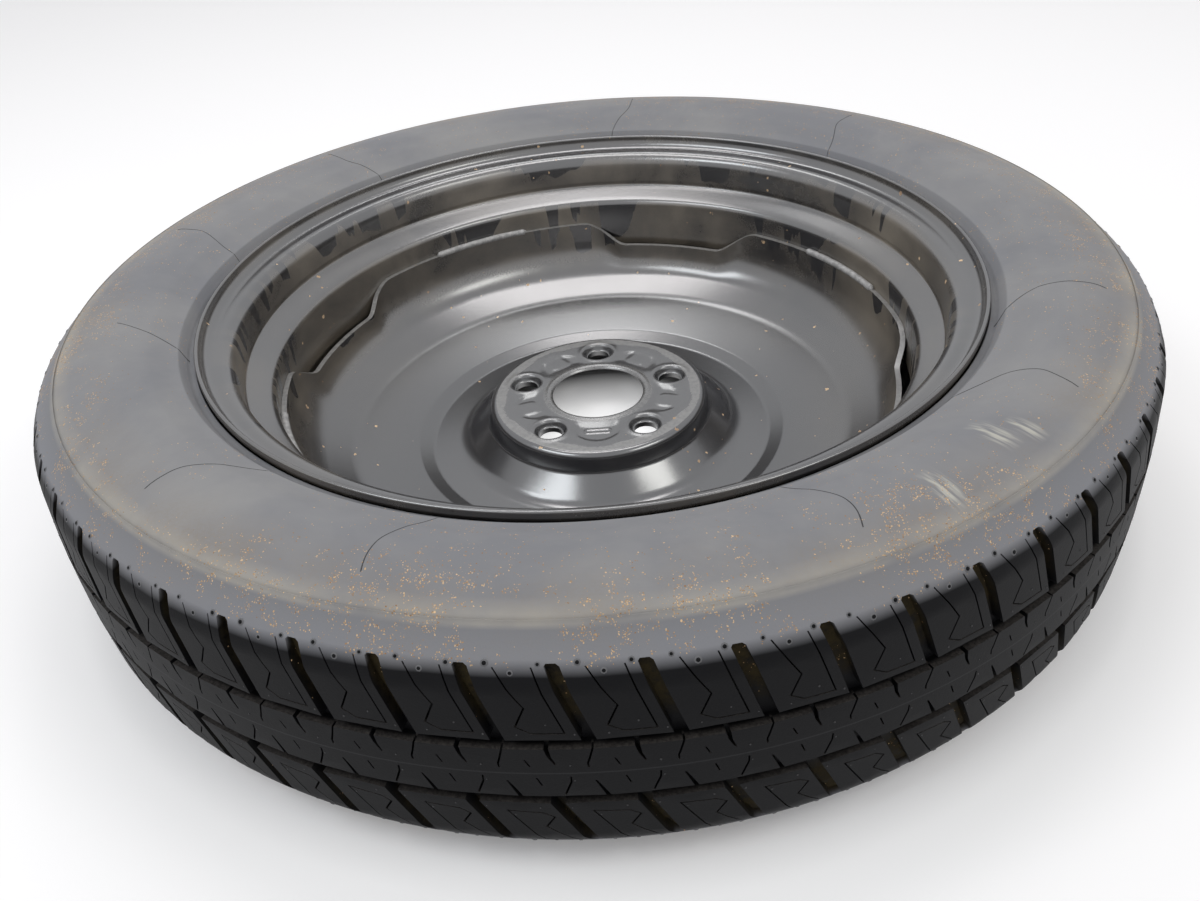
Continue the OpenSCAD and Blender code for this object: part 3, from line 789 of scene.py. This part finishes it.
disc = dict(sheet=3.4, columns=288, seamR=70.4, boreR=31.7, boltCircle=54.0, boltHoleR=7.9, boltTurn=87.0,
            recessDeep=4.2, recessR=11.0, recessFloorR=8.3, swellHigh=0.45, swellR=12.6, swellWide=1.9,
            pocketDeep=0.9, pocketWide=18.5, pocketFrom=37.5, pocketTo=62.0, pocketCurve=0.028, padHigh=0.55,
            padR=51.5, padWide=9.4, stampHigh=0.45, stampHalf=6.6, stampOff=3.6, stampRound=2.0, boreBead=0.9,
            boreBeadR=34.8, boreRoll=1.2, hubH=-31.5, notchTurn=69.0, notchTop=19.8, notchLow=11.7, notchDeep=17.9,
            notchInset=6.0, insetTop=17.5, insetLow=11.5, shoulderR=75.2, bowlH=-60, slopeR=172.05, slopeH=-47.0,
            slope=0.511, skirtR=207.05, edgeH=3.1, boreColumns=144, padColumns=240, padRowGap=0.95, holeColumns=40,
            holeRings=(8.3, 8.7, 9.2, 9.8, 10.4, 11.0, 11.6, 12.2, 12.8, 13.5, 14.3), clearOfHoles=15.0,
            slotGrid=0.5, sharpFrom=50)
# Worn places on the disc; the skirt's edge share is worn paint and a painted highlight along the sheet's top edge
rubbed = dict(landR=63.5, landShift=2.5, land=0.55, boreR=39.5, bore=0.35, least=0.08, seam=0.6, skirtEdgeWearAndHighlight=0.85)


def smooth(x):
    x = np.clip(x, 0, 1)
    return x * x * (3 - 2 * x)


def notchShare(degrees, wide, narrow):
    # 1 inside a notch, 0 outside, for the nearest of the four notches
    off = abs((degrees - disc["notchTurn"] + 45) % 90 - 45)
    return float(smooth((wide - off) / (wide - narrow)))


def discColumn(degrees):
    d = disc
    inset = d["notchInset"] * notchShare(degrees, d["insetTop"], d["insetLow"])
    wall = d["skirtR"] - inset
    top = d["edgeH"] - d["notchDeep"] * notchShare(degrees, d["notchTop"] + 0.8, d["notchLow"] - 0.8)
    shoulder, bowl = d["shoulderR"], d["slopeR"] - d["shoulderR"]
    path = [[d["seamR"] - 1.2, d["hubH"]], [shoulder, d["hubH"]], [shoulder + 2.6, -45],
            [shoulder + 0.21 * bowl, d["bowlH"]], [shoulder + 0.454 * bowl, d["bowlH"]],
            [shoulder + 0.558 * bowl, d["bowlH"] + 4.4], [d["slopeR"], d["slopeH"]],
            [wall, d["slopeH"] + (wall - d["slopeR"]) * d["slope"]], [wall, top]]
    bends = [0, 1.6 + d["sheet"], 5, 14 + d["sheet"], 8, 9, 30, 32 - 2 * inset, 0]
    path = roundedPath(path, bends, [0, 6, 6, 9, 4, 4, 5, 10, 0])
    return np.vstack([[[d["seamR"], d["hubH"]]], path[1:-1], [[wall, top - 0.5]], path[-1:]])


def hubHeight(x, y):
    # Height of the hub pad's upper face, in mm from the hub face
    d = disc
    r, angle = np.hypot(x, y), np.degrees(np.arctan2(y, x))
    turn = (angle - d["boltTurn"] + 36) % 72 - 36
    local = np.hypot(r * np.cos(np.radians(turn)) - d["boltCircle"], r * np.sin(np.radians(turn)))
    seat = -d["recessDeep"] * smooth((d["recessR"] - local) / (d["recessR"] - d["recessFloorR"]))
    swell = d["swellHigh"] * np.exp(-((local - d["swellR"]) / d["swellWide"]) ** 2)
    swell = swell * smooth((local - d["recessR"]) / 1.2)
    off = np.abs(np.abs(turn) - 36)
    across = off * pi / 180 * r
    pocket = smooth((d["pocketWide"] - across) / 7.5) * smooth((r - d["pocketFrom"]) / 8.0)
    pocket = pocket * smooth((d["pocketTo"] - d["pocketCurve"] * across ** 2 - r) / 5.5)
    # A square pad in each pocket, and in the nearest one a stamped slot
    padX = r * np.cos(np.radians(off)) - d["padR"]
    square = (np.abs(padX) ** 4 + np.abs(across) ** 4) ** 0.25
    slot = np.hypot(np.maximum(np.abs(across) - d["stampHalf"], 0), padX + d["stampOff"])
    near = np.round((angle - d["boltTurn"] - 36) / 72) % 5 == 2
    pad = np.where(near, d["stampHigh"] * smooth((1.3 - np.abs(slot - d["stampRound"])) / 1.1),
                   d["padHigh"] * smooth((d["padWide"] - square) / 3.4))
    bead = d["boreBead"] * np.exp(-((r - d["boreBeadR"]) / 2.2) ** 2) - d["boreRoll"] * smooth((33.0 - r) / 1.6)
    return seat + swell - d["pocketDeep"] * pocket + pad * smooth((r - 39.0) / 3.0) + bead


def buildHubPoints():
    # Rings round the bore and each bolt hole, and an even polar grid between them
    d = disc
    points, outlines = [], []

    def ring(cx, cy, radius, count, keep=False):
        x, y = ringOf(radius, count)
        if keep:
            outlines.append(list(range(len(points), len(points) + count)))
        points.extend(zip(cx + x, cy + y))

    ring(0, 0, d["seamR"], d["columns"], True)
    ring(0, 0, d["boreR"], d["boreColumns"], True)
    turns = np.radians(d["boltTurn"] + np.arange(5) * 72)
    centres = [(d["boltCircle"] * cos(a), d["boltCircle"] * sin(a)) for a in turns]
    for centre in centres:
        ring(*centre, d["boltHoleR"], d["holeColumns"], True)
    for centre in centres:
        for radius in d["holeRings"]:
            ring(*centre, radius, d["holeColumns"])
    for radius in np.arange(32.3, 40.6, 0.7):
        ring(0, 0, radius, d["boreColumns"])
    for radius in np.arange(41.3, d["seamR"] - 0.6, d["padRowGap"]):
        points += [p for p in zip(*ringOf(radius, d["padColumns"]))
                   if min(hypot(p[0] - x, p[1] - y) for x, y in centres) > d["clearOfHoles"]]
    turn = radians(d["boltTurn"] + 36 + 72 * 2)
    c, s, slotR = cos(turn), sin(turn), d["padR"] - d["stampOff"]
    for r in slotR + np.arange(-4.0, 4.1, d["slotGrid"]):  # finer round the stamped slot
        points += [(r * c - y * s, r * s + y * c) for y in np.arange(-10.25, 10.3, d["slotGrid"])]
    return points, outlines


def buildDisc():
    d = disc
    points, outlines = buildHubPoints()
    cdt = geometry.delaunay_2d_cdt([Vector((float(x), float(y))) for x, y in points], [], outlines, 0, 1e-4)
    x, y = np.array([tuple(p) for p in cdt[0]]).T
    faces = [list(t) for t, own in zip(cdt[2], cdt[5]) if list(own) == [0]]
    verts = list(zip(x * mm, y * mm, (d["hubH"] + hubHeight(x, y) + midZ) * mm))
    reach, turn = np.hypot(x, y), np.degrees(np.arctan2(y, x))
    pocketTurn = np.abs((turn - d["boltTurn"]) % 72 - 36)
    land = rubbed["landR"] + rubbed["landShift"] * smooth((14 - pocketTurn) / 10)
    scuffAndEdgeHighlight = np.maximum(rubbed["land"] * smooth((reach - land) / 1.6),
                       rubbed["bore"] * smooth((rubbed["boreR"] - reach) / 2.0))
    scuffAndEdgeHighlight = list(np.maximum(scuffAndEdgeHighlight, rubbed["least"]))
    columns = [discColumn(k * 360 / d["columns"]) for k in range(d["columns"])]
    rows = len(columns[0])
    faces += gridFaces(len(verts), d["columns"], rows, closedRows=True)
    for k, column in enumerate(columns):
        verts += [atTurn(r, k * tau / d["columns"], h) for r, h in column]
        # Each column's top point gets a light line: worn paint and a painted highlight along the sheet's edge
        scuffAndEdgeHighlight += [rubbed["seam"]] * 2 + [0.0] * (rows - 3) + [rubbed["skirtEdgeWearAndHighlight"]]
    made = meshObject("discCarrier", verts, faces, discPaint, attributes={"scuffAndEdgeHighlight": scuffAndEdgeHighlight})
    with meshEdit(made) as bm:
        bmesh.ops.remove_doubles(bm, verts=bm.verts, dist=0.00004)
        bmesh.ops.delete(bm, geom=[v for v in bm.verts if not v.link_faces], context="VERTS")
        bmesh.ops.recalc_face_normals(bm, faces=bm.faces)
        lowest = min(bm.faces, key=lambda f: f.calc_center_median().z)
        if lowest.normal.z < 0:
            bmesh.ops.reverse_faces(bm, faces=bm.faces)
    shell = made.modifiers.new("sheet", "SOLIDIFY")
    shell.thickness, shell.offset, shell.use_quality_normals = d["sheet"] * mm, -1, True
    made = plainMesh(made, "discPressing")
    markSharp(made, d["sharpFrom"])
    return made


discPressing = buildDisc()
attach(discPressing, "wheel")
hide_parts("disc")
print("disc made:", triangleCount(discPressing), "triangles")


# Weld beads: rippled runs with rounded ends, laid in the corner between disc and rim

weld = dict(beads=4, along=150, around=12, span=22.0, turn=24.0, radius=208.75, height=3.3, half=2.5, rise=2.5,
            endLength=2.6, evenOver=9, ripple=0.055, pitch=2.1, uneven=0.05, wander=0.15)


def buildWelds():
    w = weld
    verts, faces = [], []
    along, around = w["along"], w["around"]
    span, whole = radians(w["span"]), radians(w["span"]) * w["radius"]
    for bead in range(w["beads"]):
        faces += tubeFaces(len(verts), along, around)
        wander = np.convolve(rng.normal(0, 1, along), np.ones(w["evenOver"]) / w["evenOver"], "same")
        for i in range(along):
            s = i / (along - 1)
            angle = radians(w["turn"] + 90 * bead) + (s - 0.5) * span
            run = s * whole
            end = min(1.0, sqrt(max(0.0, min(run, whole - run) / w["endLength"] + 0.004)))
            size = end * (1 + w["uneven"] * wander[i] + w["ripple"] * sin(tau * run / w["pitch"]))
            for k in range(around):
                a = tau * k / around
                verts.append(atTurn(w["radius"] + w["half"] * size * cos(a) + w["wander"] * wander[i], angle,
                                    w["height"] + w["rise"] * size * sin(a)))
    made = meshObject("weldBeads", verts, faces, beadPaint)
    outwards(made)
    return made


weldBeads = buildWelds()
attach(weldBeads, "wheel")
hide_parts("disc_welds")
print("welds made")

for node, finish in (("valve_stem", valveRubber), ("valve_insert", valveBrass), ("valve_core", valveBrass),
                     ("core_seal", sealPlastic), ("valve_pin", valveBrass),
                     ("valve_cap", capPlastic), ("cap_seal", valveRubber)):
    for slot in frame["nodes"][node].material_slots:
        slot.material = finish


# The valve pin's coil spring, wound along the axis that the pin is pressed along
spring = dict(axis=(-0.16148, -0.42068, 0.89272), coilR=0.88, wireR=0.22, turns=5, steps=16, sides=8)


def buildSpring():
    node = frame["nodes"]["pin_spring"]
    points = [node.matrix_world @ v.co for v in node.data.vertices]
    axis = Vector(spring["axis"]).normalized()
    along = [p.dot(axis) for p in points]
    wire = spring["wireR"] * mm
    low, high = min(along) + wire, max(along) - wire
    middle = sum(points, Vector()) / len(points)
    middle -= axis * middle.dot(axis)
    across = axis.orthogonal().normalized()
    other = axis.cross(across)
    count, sides = spring["turns"] * spring["steps"], spring["sides"]
    verts = []
    for i in range(count + 1):
        a = tau * i / spring["steps"]
        out = across * cos(a) + other * sin(a)
        place = middle + axis * (low + (high - low) * i / count) + out * spring["coilR"] * mm
        for b in np.arange(sides) * tau / sides:
            verts.append(place + (out * cos(b) + axis * sin(b)) * wire)
    made = meshObject("valveSpring", verts, tubeFaces(0, count + 1, sides), springSteel)
    outwards(made)
    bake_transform(made)
    return made


valveSpring = buildSpring()
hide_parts("pin_spring")
print("valve finished")


# Floor, lamps, world and camera

# Soft boxes: name, turn and height angle in degrees, width and depth in metres, radiance, tint
stage = dict(floor=colour(0.8, 0.79, 0.79), floorRough=0.8, glow=0.3, boreGlow=0.75, world=0.5,
             floorHalf=6, floorFar=8, sky=colour(0.965, 0.975, 1.0), boxDistance=2.0,
             boxes=(("leftBox", -153, 55, 1.05, 0.5, 5.0, (0.93, 0.97, 1.0)),
                    ("rightBox", -36, 50, 0.8, 0.45, 4.7, (1.0, 1.0, 0.96)),
                    ("overhead", 90, 76, 1.2, 0.4, 5.0, (1.0, 0.97, 0.97)),
                    ("backBox", 95, 54, 0.4, 0.3, 4.6, (1.0, 1.0, 1.0))))


def whiteShare(n):
    # 1 where the camera or a mirror-like surface looks, 0 where light is gathered
    seen = n.add("ShaderNodeLightPath")
    return n.math("MAXIMUM", n.math("MAXIMUM", seen["Is Camera Ray"], seen["Is Glossy Ray"]),
                  seen["Is Transmission Ray"])


def stageScene():
    # The floor gets a little extra white for the camera outside the wheel, and a painted pool of light under the bore
    # that glows for the camera and mirror-like surfaces
    material, n, shader, where = newMaterial("paleFloor")
    radius = n.polar(where)[0]
    extraWhiteAndBoreLight = n.math("ADD", n.ramp(radius, 0.03, 0.095, stage["boreGlow"], 0.0),
                 n.ramp(radius, 0.3, 0.36, 0.0, stage["glow"]))
    n.fill(shader, {"Base Color": stage["floor"], "Roughness": stage["floorRough"],
                    "Emission Color": colour(1.0, 1.0, 1.0), "Emission Strength": n.times(whiteShare(n), extraWhiteAndBoreLight)})
    half, far = stage["floorHalf"], stage["floorFar"]
    floor = meshObject("studioFloor", [(-half, -half, 0), (half, -half, 0), (half, far, 0), (-half, far, 0)],
                       [(0, 1, 2, 3)], material)
    world = bpy.data.worlds.new("studio")
    bpy.context.scene.world = world
    world.use_nodes = True
    n = nodesOf(world.node_tree)
    n.fill(n.tree.nodes["Background"].inputs,
           {"Color": stage["sky"], "Strength": n.ramp(whiteShare(n), 0.0, 1.0, stage["world"], 1.0)})
    for name, turn, rise, wide, deep, radiance, tint in stage["boxes"]:
        data = bpy.data.lights.new(name, "AREA")
        data.shape, data.size, data.size_y, data.color = "RECTANGLE", wide, deep, tint
        data.energy = pi * wide * deep * radiance
        lamp = sceneObject(name, data)
        turn, rise = radians(turn), radians(rise)
        lamp.location = stage["boxDistance"] * Vector((cos(rise) * cos(turn), cos(rise) * sin(turn), sin(rise)))
        lamp.rotation_euler = lamp.location.to_track_quat("Z", "Y").to_euler()
        lamp.visible_camera = False


def placeCamera():
    # Fitted to the photograph: focal length in pixels of its width, elevation, roll, distance
    view = dict(focal=1050, wide=1200, sensor=36.0, rise=0.625, roll=-0.091, far=0.68260, shiftX=-13.0,
                shiftY=-180.3, aimZ=0.137)
    back = Vector((0, -cos(view["rise"]), sin(view["rise"])))
    right, up = Vector((1, 0, 0)), Vector((0, sin(view["rise"]), cos(view["rise"])))
    c, s = cos(view["roll"]), sin(view["roll"])
    right, up = c * right + s * up, c * up - s * right
    scale = view["far"] / view["focal"]
    place = back * view["far"] - right * view["shiftX"] * scale + up * view["shiftY"] * scale
    data = bpy.data.cameras.new("photoCamera")
    data.sensor_width, data.lens = view["sensor"], view["sensor"] * view["focal"] / view["wide"]
    camera = sceneObject("photoCamera", data)
    turned = Matrix((right, up, back)).transposed().to_4x4()
    turned.translation = place + Vector((0, 0, view["aimZ"]))
    camera.matrix_world = turned
    bpy.context.scene.camera = camera


stageScene()
placeCamera()
bpy.context.scene.view_settings.view_transform = "Standard"
print("scene ready")
